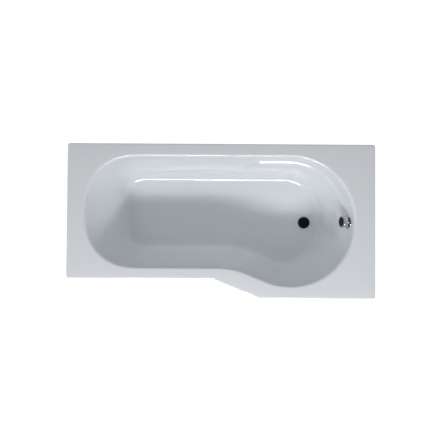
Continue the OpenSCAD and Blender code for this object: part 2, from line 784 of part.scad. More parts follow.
// --- overflow, measured along its axis from the seat on the wall ---
plate_tail_len = 24;
over_seal_t = 3;
over_back = -shell_t - pad_proud - over_seal_t;
over_chamber_z = -38;
over_chamber_d = 52;
over_body_d = over_chamber_d + 2 * body_wall;
over_end_t = 4;
spindle_d = 8;
spindle_gap = 0.05;
spindle_z = over_chamber_z - 2;
spoke_t = 5;
drop_z = (over_chamber_z - plate_tail_len) / 2;
axis_x = sin(foot_slope);
axis_z = cos(foot_slope);
hose_x = overflow_x - (drop_z - seat_cut) * axis_x;
hose_top_z = overflow_z + (drop_z - seat_cut) * axis_z;
spigot_reach = over_body_d / 2 + spigot_len;
hose_start_z = hose_top_z - over_body_d / 2 - 4;
cable_start_z = hose_top_z - over_body_d / 2 + 4;
drop_len = 12;

module overflow_plate() {
    r = plate_d / 2;
    bore = tail_d / 2 - tail_wall;
    color("gainsboro") at_overflow() difference() {
        union() {
            rotate_extrude() polygon([
                [bore, plate_t - 1.5], [bore + 3, plate_t], [r - 5, plate_t], [r - 1, plate_t - 1.6], [r, 1],
                [r, 0], [tail_d / 2, 0], [tail_d / 2, -plate_tail_len], [bore, -plate_tail_len]
            ]);
            translate([0, 0, -spoke_t]) cylinder(d = spindle_d + 8, h = 2 * spoke_t);
            for (a = [90, 210, 330]) rotate([0, 0, a]) translate([0, -arm_w / 2, -spoke_t])
                cube([bore + 1, arm_w, spoke_t]);
        }
        translate([0, 0, -3 * spoke_t]) cylinder(d = spindle_d + 2 * spindle_gap, h = 6 * spoke_t);
    }
}

module overflow_seal() {
    color("dimgray") at_overflow() translate([0, 0, over_back])
        ring(tail_d + 4 * fit_gap, hole_d + 14, over_seal_t);
}

// The elbow behind the shell: its chamber lies on the overflow's axis, its outlets hang down
module overflow_body() {
    color("whitesmoke") difference() {
        union() {
            at_overflow() {
                translate([0, 0, over_chamber_z - over_end_t])
                    cylinder(d = over_body_d, h = over_back - over_chamber_z + over_end_t);
                translate([0, 0, over_back - body_flange_t]) cylinder(d = hole_d + 14, h = body_flange_t);
            }
            translate([hose_x, waste_y, hose_top_z - spigot_reach]) cylinder(d = spigot_d, h = spigot_reach);
            translate([hose_x, waste_y + cable_y, cable_start_z - drop_len])
                cylinder(d = nipple_d, h = 2 * drop_len);
        }
        at_overflow() {
            translate([0, 0, -plate_tail_len]) cylinder(d = tail_d + 2 * fit_gap, h = plate_tail_len);
            translate([0, 0, over_chamber_z])
                cylinder(d = over_chamber_d, h = -over_chamber_z - plate_tail_len + eps / 10);
            translate([0, 0, spindle_z]) cylinder(d = spindle_d + 2 * spindle_gap, h = 10);
        }
        translate([hose_x, waste_y, hose_top_z - spigot_reach - eps])
            cylinder(d = spigot_d - 2 * spigot_wall, h = spigot_reach + eps);
        translate([hose_x, waste_y + cable_y, cable_start_z - drop_len - eps]) {
            cylinder(d = cable_d + 2 * cable_gap, h = drop_len + eps);
            cylinder(d = cable_d / 2, h = 2 * drop_len);
        }
    }
}

knob_z = plate_t + knob_gap;
knob_wall = 3;
knob_taper = 1.5;
cam_d = 24;
cam_t = 5;
cam_z = -34;

module overflow_spindle() {
    color("silver") at_overflow() {
        translate([0, 0, spindle_z + move_gap])
            cylinder(d = spindle_d, h = knob_z + knob_t - 2 * knob_wall - spindle_z - move_gap);
        difference() {
            translate([0, 0, cam_z]) cylinder(d = cam_d, h = cam_t);
            translate([cam_d / 2 - 4, 0, cam_z - eps]) cylinder(d = 3, h = cam_t + 2 * eps);
        }
    }
}

module overflow_knob() {
    r = knob_d / 2;
    h = knob_t;
    skirt = r - knob_taper;
    color("gainsboro") at_overflow() translate([0, 0, knob_z]) difference() {
        rotate_extrude() polygon(concat(
            [[0, knob_wall], [0, h - 1], [r - 9, h - 0.6]],
            [for (a = [75:-15:0]) [r - 4 + 4 * cos(a), h - 4 + 4 * sin(a)]],
            [[skirt, 1], [skirt - 1, 0], [skirt - knob_wall, 0], [skirt - knob_wall, h - 2 * knob_wall],
                [spindle_d / 2 + knob_wall, h - 2 * knob_wall], [spindle_d / 2 + knob_wall, knob_wall]]
        ));
        translate([0, 0, -eps]) cylinder(d = spindle_d + 2 * spindle_gap, h = h - 2 * knob_wall + eps);
    }
}

// --- ribbed hose from the overflow to the waste ---
rib_pitch = 4;
rib_depth = 1.5;
bend_z = inlet_z + hose_bend;
hose_end_x = waste_x + body_r + 3;
bore_d = hose_d - 2 * hose_wall;

// A straight ribbed stretch along Z, with plain ends
module ribbed(length) {
    n = floor((length - rib_pitch) / rib_pitch);
    start = (length - n * rib_pitch) / 2;
    r = hose_d / 2;
    rotate_extrude() polygon(concat(
        [[bore_d / 2, 0], [r - rib_depth, 0]],
        [for (k = [0:n - 1]) for (p = [[rib_depth, 0.15], [0, 0.3], [0, 0.7], [rib_depth, 0.85]])
            [r - p[0], start + (k + p[1]) * rib_pitch]],
        [[r - rib_depth, length], [bore_d / 2, length]]
    ));
}

// The ribbed quarter turn at the hose's foot
module ribbed_bend() {
    n = floor(hose_bend * PI / 2 / rib_pitch);
    step = 90 / n;
    difference() {
        union() {
            rotate_extrude(angle = 90) translate([hose_bend, 0]) circle(d = hose_d - 2 * rib_depth);
            for (k = [1:n - 1]) rotate([0, 0, (k - 0.25) * step]) rotate_extrude(angle = step / 2)
                translate([hose_bend, 0]) circle(d = hose_d);
        }
        rotate_extrude(angle = 90) translate([hose_bend, 0]) circle(d = bore_d);
    }
}

// A rib across the joint of two stretches
module joint_rib() {
    translate([0, 0, -rib_pitch / 4]) ring(bore_d + rib_depth / 2, hose_d, rib_pitch / 2);
}

module overflow_hose() {
    bend_x = hose_x - hose_bend;
    color("whitesmoke") {
        translate([hose_x, waste_y, bend_z]) ribbed(hose_start_z - bend_z);
        translate([hose_x, waste_y, bend_z]) joint_rib();
        translate([bend_x, waste_y, bend_z]) rotate([90, 0, 0]) rotate([0, 0, -90]) ribbed_bend();
        translate([bend_x, waste_y, inlet_z]) rotate([0, 90, 0]) joint_rib();
        translate([hose_end_x, waste_y, inlet_z]) rotate([0, 90, 0]) ribbed(bend_x - hose_end_x);
    }
}

collar_len = 22;
collar_sides = 10;
collar_gap = 0.2;

// Collars that clamp the hose on its two spigots
module hose_nuts() {
    color("whitesmoke") {
        translate([hose_x, waste_y, hose_start_z - collar_len]) collar();
        translate([hose_end_x, waste_y, inlet_z]) rotate([0, 90, 0]) collar();
    }
}
module collar() {
    difference() {
        cylinder(d = hose_d + 10, h = collar_len, $fn = collar_sides);
        translate([0, 0, -eps]) cylinder(d = hose_d + collar_gap, h = collar_len + 2 * eps);
    }
}

// Sheathed cable beside the hose, from the spindle's chamber to the rocker's
module lift_cable() {
    start = waste_x + body_r - cable_seat;
    bend_x = hose_x - hose_bend;
    color("dimgray") translate([0, waste_y + cable_y, 0]) {
        translate([hose_x, 0, bend_z]) cylinder(d = cable_d, h = cable_start_z - bend_z);
        translate([bend_x, 0, bend_z]) rotate([90, 0, 0]) rotate([0, 0, -90])
            rotate_extrude(angle = 90) translate([hose_bend, 0]) circle(d = cable_d);
        translate([start, 0, inlet_z]) rotate([0, 90, 0]) cylinder(d = cable_d, h = bend_x - start);
    }
}

clamp_w = 8;
clamp_wall = 2;
clamp_n = 3;
clamp_from_end = 20;

module cable_clips() {
    low = bend_z + clamp_from_end;
    high = hose_start_z - collar_len - clamp_from_end;
    color("dimgray") for (k = [0:clamp_n - 1])
        translate([hose_x, waste_y, lerp(low, high, k / (clamp_n - 1)) - clamp_w / 2]) difference() {
            union() {
                cylinder(d = hose_d + collar_gap + 2 * clamp_wall, h = clamp_w);
                translate([0, cable_y, 0])
                    cylinder(d = cable_d + 2 * cable_gap + 2 * clamp_wall, h = clamp_w);
                translate([-clamp_wall, hose_d / 2, 0])
                    cube([2 * clamp_wall, cable_y - hose_d / 2 - cable_d / 2, clamp_w]);
            }
            translate([0, 0, -eps]) cylinder(d = hose_d + collar_gap, h = clamp_w + 2 * eps);
            translate([0, cable_y, -eps]) cylinder(d = cable_d + 2 * cable_gap, h = clamp_w + 2 * eps);
        }
}

// --- trap: a U under the waste, turning level towards the wall ---
trap_wall = 2.5;
trap_d = pipe_d + 1;
trap_bend = 24;
trap_floor_gap = 3.5;
trap_rise = 8;
trap_washer_t = 2;
trap_lip_t = 3;
nut_floor_t = 3;
nut_over = 14;
nut_wall = 5.5;
bend_low = trap_floor_gap + trap_d / 2 + trap_bend;
socket_z = bend_low + trap_rise + trap_bend;
socket_y = 3 * trap_bend + 18;
socket_len = 30;
socket_gap = 0.15;
socket_d = pipe_d + 2 * socket_gap + 7.7;
trap_top = outlet_z - trap_washer_t;

module trap_washer() {
    color("dimgray") at_waste(trap_top) ring(trap_d - 2 * trap_wall, outlet_d - 1, trap_washer_t);
}

module trap_nut() {
    bottom = trap_top - trap_lip_t - nut_floor_t;
    color("whitesmoke") difference() {
        at_waste(bottom) cylinder(d = outlet_d + 2 * nut_wall, h = outlet_z + nut_over - bottom, $fn = 12);
        at_waste(bottom + nut_floor_t) cylinder(d = outlet_d + 2 * fit_gap, h = 3 * nut_over);
        at_waste(bottom - eps) cylinder(d = trap_d + 4 * fit_gap, h = nut_floor_t + 2 * eps);
    }
}

// The trap's tube at a given diameter: the solid one and the bore are drawn alike
module trap_tube(d, over) {
    at_waste(bend_low - over) cylinder(d = d, h = trap_top - bend_low + 2 * over);
    at_waste(0) {
        translate([0, trap_bend, bend_low]) rotate([0, 90, 0]) rotate([0, 0, -90])
            rotate_extrude(angle = 180) translate([trap_bend, 0]) circle(d = d);
        translate([0, 2 * trap_bend, bend_low - over]) cylinder(d = d, h = trap_rise + 2 * over);
        translate([0, 3 * trap_bend, bend_low + trap_rise]) rotate([0, 90, 0]) rotate([0, 0, -180])
            rotate_extrude(angle = 90) translate([trap_bend, 0]) circle(d = d);
        translate([0, 3 * trap_bend - over, socket_z]) rotate([-90, 0, 0])
            cylinder(d = d, h = socket_y - 3 * trap_bend + 2 * over);
    }
}

module trap_body() {
    color("whitesmoke") difference() {
        union() {
            trap_tube(trap_d, 0);
            at_waste(trap_top - trap_lip_t) cylinder(d = outlet_d - 1, h = trap_lip_t);
            at_waste(socket_z) translate([0, socket_y - 4, 0]) rotate([-90, 0, 0])
                cylinder(d = socket_d, h = socket_len + 4);
        }
        trap_tube(trap_d - 2 * trap_wall, eps / 10);
        at_waste(socket_z) translate([0, socket_y, 0]) rotate([-90, 0, 0])
            cylinder(d = pipe_d + 2 * socket_gap, h = socket_len + eps);
    }
}

module trap_outlet_nut() {
    length = nut_over + nut_floor_t + 1;
    color("whitesmoke") at_waste(socket_z) translate([0, socket_y + socket_len - nut_over, 0])
        rotate([-90, 0, 0]) difference() {
            cylinder(d = socket_d + 9, h = length, $fn = 12);
            translate([0, 0, -eps]) cylinder(d = socket_d + 2 * fit_gap, h = nut_over + eps);
            cylinder(d = pipe_d + 1, h = length + eps);
        }
}

bath_shell();
base_board();
head_rail();
middle_rail();
foot_rail();
rail_end_caps();
rail_screws();
leg_stud_1();
leg_stud_2();
leg_stud_3();
leg_stud_4();
leg_stud_5();
leg_stud_6();
foot_pad_1();
foot_pad_2();
foot_pad_3();
foot_pad_4();
foot_pad_5();
foot_pad_6();
leg_nuts_1();
leg_nuts_2();
leg_nuts_3();
leg_nuts_4();
leg_nuts_5();
leg_nuts_6();
head_batten();
foot_batten();
rear_batten();
front_batten();
step_batten();
wide_batten();
wall_clips();
waste_flange();
waste_seal_top();
waste_seal_bottom();
waste_strainer();
waste_body();
rocker_pin();
lift_rocker();
plug_cap();
plug_seal();
plug_stem();
overflow_plate();
overflow_seal();
overflow_body();
overflow_spindle();
overflow_knob();
overflow_hose();
hose_nuts();
lift_cable();
cable_clips();
trap_washer();
trap_nut();
trap_body();
trap_outlet_nut();
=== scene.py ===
"""P-shaped shower bath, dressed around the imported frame. Metres, +Z up, +Y is the wall side."""
import json
import math

import bpy
import bmesh
import numpy as np
from mathutils import Matrix, Vector


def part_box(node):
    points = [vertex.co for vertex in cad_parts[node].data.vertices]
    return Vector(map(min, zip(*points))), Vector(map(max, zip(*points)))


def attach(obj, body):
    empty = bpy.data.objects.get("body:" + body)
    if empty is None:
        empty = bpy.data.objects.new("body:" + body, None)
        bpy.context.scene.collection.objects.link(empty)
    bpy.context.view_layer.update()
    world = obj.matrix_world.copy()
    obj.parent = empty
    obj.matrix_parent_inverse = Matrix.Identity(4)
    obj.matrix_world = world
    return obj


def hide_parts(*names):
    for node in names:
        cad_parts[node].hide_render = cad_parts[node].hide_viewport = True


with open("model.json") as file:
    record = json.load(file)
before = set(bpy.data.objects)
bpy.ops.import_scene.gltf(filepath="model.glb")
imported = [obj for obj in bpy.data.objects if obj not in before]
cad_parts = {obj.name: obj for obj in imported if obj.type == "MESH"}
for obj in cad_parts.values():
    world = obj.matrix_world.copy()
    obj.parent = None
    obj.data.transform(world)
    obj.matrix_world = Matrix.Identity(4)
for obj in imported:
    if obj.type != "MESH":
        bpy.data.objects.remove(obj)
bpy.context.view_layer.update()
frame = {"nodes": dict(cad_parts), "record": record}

scene = bpy.context.scene
nodes = frame["nodes"]

# --- camera: almost straight above, a little in front of the middle ---
RIM_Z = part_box("bath_shell")[1].z
CAMERA_HEIGHT = 2.93
CAMERA_AT = Vector((-0.006, -0.062, RIM_Z + CAMERA_HEIGHT))
CAMERA_TARGET = Vector((-0.006, 0.004, RIM_Z))
CAMERA_ROLL = math.radians(0.35)
CAMERA_LENS, CAMERA_SENSOR, CAMERA_REACH = 43.6, 36, 50


def make_camera():
    data = bpy.data.cameras.new("camera")
    data.lens = CAMERA_LENS
    data.sensor_width = CAMERA_SENSOR
    data.clip_end = CAMERA_REACH
    camera = bpy.data.objects.new("camera", data)
    back = (CAMERA_AT - CAMERA_TARGET).normalized()
    right = Vector((math.cos(CAMERA_ROLL), math.sin(CAMERA_ROLL), 0))
    right = (right - right.dot(back) * back).normalized()
    up = back.cross(right)
    turn = Matrix((right, up, back)).transposed()
    camera.matrix_world = Matrix.Translation(CAMERA_AT) @ turn.to_4x4()
    scene.collection.objects.link(camera)
    scene.camera = camera


make_camera()
scene.view_settings.view_transform = "Standard"

# --- shell: the construction's formulas, drawn four times finer ---
# Only the ledge differs. It is about 5 mm narrower than in the solids, so that it shines as a thin line.
BATH_LEN, WIDE_W, NARROW_W = 1.7, 0.85, 0.745
DEPTH, FALL, SHELL_T = 0.4, 0.01, 0.005
LIP_H, EDGE_R, CORNER_R, STEP_R = 0.04, 0.007, 0.015, 0.03
HEAD_DECK, FOOT_DECK, REAR_DECK = 0.082, 0.098, 0.055
FRONT_DECK, WIDE_DECK, STEP_DECK = 0.049, 0.054, 0.087
HEAD_ROUND, HEAD_POWER = 0.315, 2.3
STEP_ANGLE, STEP_CURVE_R = math.radians(22), 0.4
ROLL_R, FLOOR_R, BACK_FLOOR_R = 0.02, 0.062, 0.06
HEAD_RUN, FOOT_RUN, REAR_RUN, FRONT_RUN = 0.225, 0.175, 0.135, 0.152
LEDGE_W_LOW, LEDGE_W_HIGH, LEDGE_H = 0.0123, 0.0128, 0.012
LEDGE_LOW, LEDGE_HIGH = 0.22, 0.1
WASTE_INSET, OVERFLOW_DROP = 0.333, 0.075

X_HEAD, X_FOOT = -BATH_LEN / 2, BATH_LEN / 2
Y_WALL, Y_WIDE = WIDE_W / 2, -WIDE_W / 2
Y_NARROW = Y_WALL - NARROW_W
OPEN_REAR, OPEN_FRONT = Y_WALL - REAR_DECK, Y_NARROW + FRONT_DECK
OPEN_WIDE = Y_WIDE + WIDE_DECK
WIDE_R = (OPEN_REAR - OPEN_WIDE) / 2
WIDE_X, WIDE_Y = X_FOOT - FOOT_DECK - WIDE_R, (OPEN_REAR + OPEN_WIDE) / 2
HEAD_X = X_HEAD + HEAD_DECK + HEAD_ROUND
HEAD_Y, HEAD_HALF = (OPEN_REAR + OPEN_FRONT) / 2, (OPEN_REAR - OPEN_FRONT) / 2
STEP_SIN, STEP_COS, STEP_TAN = math.sin(STEP_ANGLE), math.cos(STEP_ANGLE), math.tan(STEP_ANGLE)
TANGENT_X, TANGENT_Y = WIDE_X - WIDE_R * STEP_SIN, WIDE_Y - WIDE_R * STEP_COS
CURVE_END_Y = OPEN_FRONT - STEP_CURVE_R * (1 - STEP_COS)
CURVE_END_X = TANGENT_X - (CURVE_END_Y - TANGENT_Y) / STEP_TAN
CURVE_X = CURVE_END_X - STEP_CURVE_R * STEP_SIN
STEP_LINE_X, STEP_LINE_Y = TANGENT_X - STEP_DECK * STEP_SIN, TANGENT_Y - STEP_DECK * STEP_COS
STEP_END_X = STEP_LINE_X + (STEP_LINE_Y - Y_WIDE) / STEP_TAN
STEP_START_X = STEP_END_X - (Y_NARROW - Y_WIDE) / STEP_TAN
WASTE_X, WASTE_Y = X_FOOT - WASTE_INSET, WIDE_Y
FLOOR_Z = RIM_Z - DEPTH

# Pieces of the opening's outline: round end, wall side, narrow end, front, the step's bend, the step
FINER = 4
WIDE_N, REAR_N, HEAD_N = 44 * FINER, 22 * FINER, 30 * FINER
FRONT_N, BEND_N, STEP_N = 10 * FINER, 6 * FINER, 4 * FINER


def lerp(a, b, t):
    return a + (b - a) * t


def smooth(t):
    c = np.clip(t, 0, 1)
    return c * c * (3 - 2 * c)


def signed_power(value, power):
    return math.copysign(abs(value) ** power, value)


def head_point(degrees):
    """A point on the narrow end's superellipse with its inward normal."""
    a = math.radians(degrees)
    c, s = round(math.cos(a), 12), round(math.sin(a), 12)
    u, v = signed_power(c, 2 / HEAD_POWER), signed_power(s, 2 / HEAD_POWER)
    nx = -signed_power(u, HEAD_POWER - 1) / HEAD_ROUND
    ny = -signed_power(v, HEAD_POWER - 1) / HEAD_HALF
    size = math.hypot(nx, ny)
    return HEAD_X + HEAD_ROUND * u, HEAD_Y + HEAD_HALF * v, nx / size, ny / size


def outline():
    """The opening's points and inward normals, anticlockwise from where the step meets the round end."""
    rows = []
    for k in range(WIDE_N):
        a = lerp(-math.pi / 2 - STEP_ANGLE, math.pi / 2, k / WIDE_N)
        c, s = math.cos(a), math.sin(a)
        rows.append((WIDE_X + WIDE_R * c, WIDE_Y + WIDE_R * s, -c, -s))
    rows += [(lerp(WIDE_X, HEAD_X, k / REAR_N), OPEN_REAR, 0, -1) for k in range(REAR_N)]
    rows += [head_point(lerp(90, 270, k / HEAD_N)) for k in range(HEAD_N)]
    rows += [(lerp(HEAD_X, CURVE_X, k / FRONT_N), OPEN_FRONT, 0, 1) for k in range(FRONT_N)]
    for k in range(BEND_N):
        a = STEP_ANGLE * k / BEND_N
        c, s = math.cos(a), math.sin(a)
        rows.append((CURVE_X + STEP_CURVE_R * s, OPEN_FRONT - STEP_CURVE_R * (1 - c), s, c))
    for k in range(STEP_N):
        x = lerp(CURVE_END_X, TANGENT_X, k / STEP_N)
        y = lerp(CURVE_END_Y, TANGENT_Y, k / STEP_N)
        rows.append((x, y, STEP_SIN, STEP_COS))
    return np.array(rows)


# Corners of the rim: x, y, radius (negative where it turns inwards), then the pieces of the corner's arc
# and of the straight after it
RIM_CORNERS = [
    (STEP_END_X, Y_WIDE, STEP_R, 2, 12),
    (X_FOOT, Y_WIDE, CORNER_R, 4, 15),
    (X_FOOT, Y_WALL, CORNER_R, 4, 36),
    (X_HEAD, Y_WALL, CORNER_R, 4, 10),
    (X_HEAD, Y_NARROW, CORNER_R, 4, 16),
    (STEP_START_X, Y_NARROW, -STEP_R, 2, 7),
]


def rim_ring(inset):
    """The rim's outline drawn in by an inset."""
    at = np.array([corner[:2] for corner in RIM_CORNERS])
    along = np.roll(at, -1, 0) - at
    along /= np.linalg.norm(along, axis=1)[:, None]
    normal = np.column_stack([-along[:, 1], along[:, 0]])
    arcs = []
    for k, (_, _, r, arc_n, _) in enumerate(RIM_CORNERS):
        n0, n1 = normal[k - 1], normal[k]
        both = (n0 + n1) / (1 + n0 @ n1)
        side = math.copysign(1, r)
        mid = at[k] + both * inset + side * both * abs(r - inset)
        turns = [lerp(n0, n1, j / (arc_n * FINER)) for j in range(arc_n * FINER + 1)]
        arcs.append([mid - side * abs(r - inset) * t / np.linalg.norm(t) for t in turns])
    ring = []
    for k, arc in enumerate(arcs):
        after = arcs[(k + 1) % len(arcs)][0]
        n = RIM_CORNERS[k][4] * FINER
        ring += arc + [lerp(arc[-1], after, j / n) for j in range(1, n)]
    return np.array(ring)


def blend(p, head, foot, rear, front):
    """What belongs to the four sides, blended by each point's inward normal."""
    nx, ny = p[:, 2], p[:, 3]
    return nx**2 * np.where(nx > 0, head, foot) + ny**2 * np.where(ny > 0, front, rear)


def depth_at(x):
    return DEPTH - FALL * (WASTE_X - x) / BATH_LEN


def slope(run, depth, r):
    """Slope of the wall that joins the rolled edge and the floor's radius."""
    rise = depth - r
    return np.arctan2(rise, run) + np.arcsin(r / np.hypot(run, rise))


LEDGE_START, LEDGE_FULL = HEAD_X + 0.06, HEAD_X + 0.26
LEDGE_RISE_X, LEDGE_RISE_LEN = CURVE_X + 0.12, 0.12
ROLL_N, WALL_N, LEDGE_N, FLOOR_ARC_N = 14, 10, 18, 18


def wall_rings(p, inside):
    """Rings of the bowl's wall from the rim to the floor, on the inner or the outer face."""
    run = blend(p, HEAD_RUN, FOOT_RUN, REAR_RUN, FRONT_RUN)
    fr = blend(p, BACK_FLOOR_R, FLOOR_R, FLOOR_R, FLOOR_R)
    depth = depth_at(p[:, 0] + p[:, 2] * run) if inside else np.full(len(p), DEPTH)
    off = 0 if inside else SHELL_T
    a = slope(run, depth, ROLL_R + fr)
    top, bottom = ROLL_R * (1 - np.cos(a)), depth - fr * (1 - np.cos(a))
    rise = smooth((p[:, 0] - LEDGE_RISE_X) / LEDGE_RISE_LEN)
    d, ledge_w = lerp(LEDGE_LOW, LEDGE_HIGH, rise), lerp(LEDGE_W_LOW, LEDGE_W_HIGH, rise)
    begun = smooth((p[:, 0] - LEDGE_START) / (LEDGE_FULL - LEDGE_START))
    amount = np.where(p[:, 3] < 0, p[:, 3]**2 * begun, 0)
    h = LEDGE_H / 2
    sections = []
    for j in range(ROLL_N + 1):
        b = a * j / ROLL_N
        sections.append(((ROLL_R - off) * np.sin(b), ROLL_R - (ROLL_R - off) * np.cos(b)))
    drops = [lerp(top, d - h, j / WALL_N) for j in range(1, WALL_N)]
    drops += [lerp(d - h, d + h, j / LEDGE_N) for j in range(LEDGE_N + 1)]
    drops += [lerp(d + h, bottom, j / WALL_N) for j in range(1, WALL_N)]
    for drop in drops:
        s = 2 * smooth((drop - d + h) / (2 * h)) - 1
        above, below = (drop - top) / (d - h - top), (bottom - drop) / (bottom - d - h)
        fade = np.where(drop < d, smooth(above), smooth(below))
        inset = ROLL_R * np.sin(a) + (drop - top) / np.tan(a) + ledge_w / 2 * amount * s * fade
        sections.append((inset - off * np.sin(a), drop + off * np.cos(a)))
    for j in range(FLOOR_ARC_N + 1):
        b = a * (1 - j / FLOOR_ARC_N)
        sections.append((run - (fr + off) * np.sin(b), depth - fr + (fr + off) * np.cos(b)))
    x, y, nx, ny = p.T
    return [np.column_stack([x + nx * s, y + ny * s, RIM_Z - z]) for s, z in sections]


def level(ring, z):
    return np.column_stack([ring, np.full(len(ring), z)])


def closed_skin(name, rings, first, last, front_from):
    """A closed mesh through rings of points with a fan at each end.

    Faces from ring front_from on take the first material, the ones before it the second.
    """
    n, m = len(rings[0]), len(rings)
    points = np.vstack([[first], *rings, [last]])
    i = np.arange(n)
    j = (i + 1) % n
    bands = [np.column_stack([np.zeros(n, int), 1 + i, 1 + j])]
    for r in range(m - 1):
        low, high = 1 + r * n, 1 + (r + 1) * n
        bands.append(np.column_stack([low + i, high + i, high + j, low + j]))
    end = 1 + (m - 1) * n
    bands.append(np.column_stack([np.full(n, len(points) - 1), end + j, end + i]))
    faces = [tuple(map(int, face)) for band in bands for face in band]
    mesh = bpy.data.meshes.new(name)
    mesh.from_pydata(points.tolist(), [], faces)
    slots = np.ones(len(faces), np.int32)
    slots[n + front_from * n:] = 0
    mesh.polygons.foreach_set("material_index", slots)
    mesh.validate()
    return mesh


def lathe(name, profile, segments=96):
    """A closed solid of revolution about Z from (radius, height) pairs that start and end on the axis."""
    mesh = bpy.data.meshes.new(name)
    bm = bmesh.new()
    rings = []
    for r, z in profile:
        if r == 0:
            rings.append([bm.verts.new((0, 0, z))])
        else:
            turn = [2 * math.pi * k / segments for k in range(segments)]
            rings.append([bm.verts.new((r * math.cos(t), r * math.sin(t), z)) for t in turn])
    for low, high in zip(rings, rings[1:]):
        for k in range(segments):
            after = k + 1
            quad = [low[k % len(low)], low[after % len(low)]]
            quad += [high[after % len(high)], high[k % len(high)]]
            quad = [v for v, w in zip(quad, quad[1:] + quad[:1]) if v is not w]
            if len(quad) > 2:
                bm.faces.new(quad)
    bmesh.ops.recalc_face_normals(bm, faces=bm.faces)
    bm.to_mesh(mesh)
    bm.free()
    return mesh


def add_object(name, mesh, matrix=None):
    obj = bpy.data.objects.new(name, mesh)
    if matrix is not None:
        obj.matrix_world = matrix
    scene.collection.objects.link(obj)
    return obj


def shade(mesh, angle=35):
    mesh.polygons.foreach_set("use_smooth", [True] * len(mesh.polygons))
    mesh.set_sharp_from_angle(angle=math.radians(angle))


# --- holes of the waste and the overflow, and the flat boss that the overflow plate seats on ---
HOLE_D, RECESS_D, RECESS_DEPTH, RECESS_EDGE_R = 0.052, 0.082, 0.002, 0.001
PLATE_SEAT_D, SEAT_CUT = 0.076, 0.0003
BOSS_R, BOSS_TOP, BOSS_BOTTOM = 0.034, -0.0015, -0.0055
CUT_REACH, SEAT_REACH, CUT_EDGE_N = 0.02, 0.008, 6

FOOT_SLOPE = float(slope(FOOT_RUN, depth_at(X_FOOT - FOOT_DECK - FOOT_RUN), ROLL_R + FLOOR_R))
FOOT_TOP = ROLL_R * (1 - math.cos(FOOT_SLOPE))
OVERFLOW_X = (X_FOOT - FOOT_DECK - ROLL_R * math.sin(FOOT_SLOPE)
              - (OVERFLOW_DROP - FOOT_TOP) / math.tan(FOOT_SLOPE))
AT_WASTE = Matrix.Translation((WASTE_X, WASTE_Y, FLOOR_Z))
AT_OVERFLOW = (Matrix.Translation((OVERFLOW_X, WASTE_Y, RIM_Z - OVERFLOW_DROP))
               @ Matrix.Rotation(-FOOT_SLOPE, 4, "Y") @ Matrix.Translation((0, 0, -SEAT_CUT)))


def disc_profile(r, bottom, top):
    return [(0, bottom), (r, bottom), (r, top), (0, top)]


def waste_profile():
    """Cutter for the waste's hole and its recess, whose upper edge is rounded over."""
    hole_r, r, edge = HOLE_D / 2, RECESS_D / 2, RECESS_EDGE_R
    profile = [(0, -CUT_REACH), (hole_r, -CUT_REACH), (hole_r, -RECESS_DEPTH), (r, -RECESS_DEPTH)]
    for k in range(CUT_EDGE_N + 1):
        t = math.pi / 2 * k / CUT_EDGE_N
        profile.append((r + edge * (1 - math.cos(t)), -edge + edge * math.sin(t)))
    return profile + [(r + edge, CUT_REACH), (0, CUT_REACH)]


def seat_profile():
    """Cutter for the overflow's hole and the flat seat of its plate."""
    hole_r, r = HOLE_D / 2, PLATE_SEAT_D / 2
    return [(0, -CUT_REACH), (hole_r, -CUT_REACH), (hole_r, 0), (r, 0), (r, SEAT_REACH), (0, SEAT_REACH)]


# The floor closes in a fan around one point, three quarters of the way to the round end's centre
FAN_X = lerp(HEAD_X, WIDE_X, 0.75)
FLOOR_RINGS, EDGE_N = 8, 8


def shell_mesh():
    """The shell without its holes: laminate outside, acrylic inside and over the rim."""
    p = outline()
    inner, outer = wall_rings(p, True), wall_rings(p, False)
    inner_tip = np.array([FAN_X, WASTE_Y, RIM_Z - depth_at(FAN_X)])
    outer_tip = np.array([FAN_X, WASTE_Y, FLOOR_Z - SHELL_T])
    shares = [k / FLOOR_RINGS for k in range(1, FLOOR_RINGS)]
    outer_floor = [lerp(outer_tip, outer[-1], k) for k in shares]
    inner_floor = [lerp(inner[-1], inner_tip, k) for k in shares]
    lip_back = [level(rim_ring(SHELL_T), RIM_Z - SHELL_T), level(rim_ring(SHELL_T), RIM_Z - LIP_H)]
    rim = [level(rim_ring(0), RIM_Z - LIP_H)]
    for k in range(EDGE_N + 1):
        b = math.pi / 2 * k / EDGE_N
        rim.append(level(rim_ring(EDGE_R * (1 - math.cos(b))), RIM_Z - EDGE_R * (1 - math.sin(b))))
    behind = outer_floor + outer[::-1] + lip_back
    mesh = closed_skin("shell", behind + rim + inner + inner_floor, outer_tip, inner_tip, len(behind))
    mesh.materials.append(acrylic)
    mesh.materials.append(laminate)
    return mesh


def make_shell():
    shell = add_object("shell", shell_mesh())
    tools = []
    for name, profile, place, how in (
        ("boss", disc_profile(BOSS_R, BOSS_BOTTOM, BOSS_TOP), AT_OVERFLOW, "UNION"),
        ("waste_cut", waste_profile(), AT_WASTE, "DIFFERENCE"),
        ("seat_cut", seat_profile(), AT_OVERFLOW, "DIFFERENCE"),
    ):
        tool = add_object(name, lathe(name, profile), place)
        cut = shell.modifiers.new(name, "BOOLEAN")
        cut.object, cut.operation, cut.solver = tool, how, "EXACT"
        cut.material_mode = "INDEX"
        tool.hide_render = True
        tools.append(tool)
    bpy.context.view_layer.update()
    done = bpy.data.meshes.new_from_object(shell.evaluated_get(bpy.context.evaluated_depsgraph_get()))
    shell.modifiers.clear()
    shell.data = done
    for tool in tools:
        bpy.data.objects.remove(tool)
    shade(done)
    return shell


# --- materials ---
def material(name, color, roughness, metallic=0.0, **sockets):
    made = bpy.data.materials.new(name)
    made.use_nodes = True
    bsdf = made.node_tree.nodes["Principled BSDF"]
    bsdf.inputs["Base Color"].default_value = (*color, 1)
    bsdf.inputs["Roughness"].default_value = roughness
    bsdf.inputs["Metallic"].default_value = metallic
    for socket, value in sockets.items():
        bsdf.inputs[socket.replace("_", " ")].default_value = value
    return made


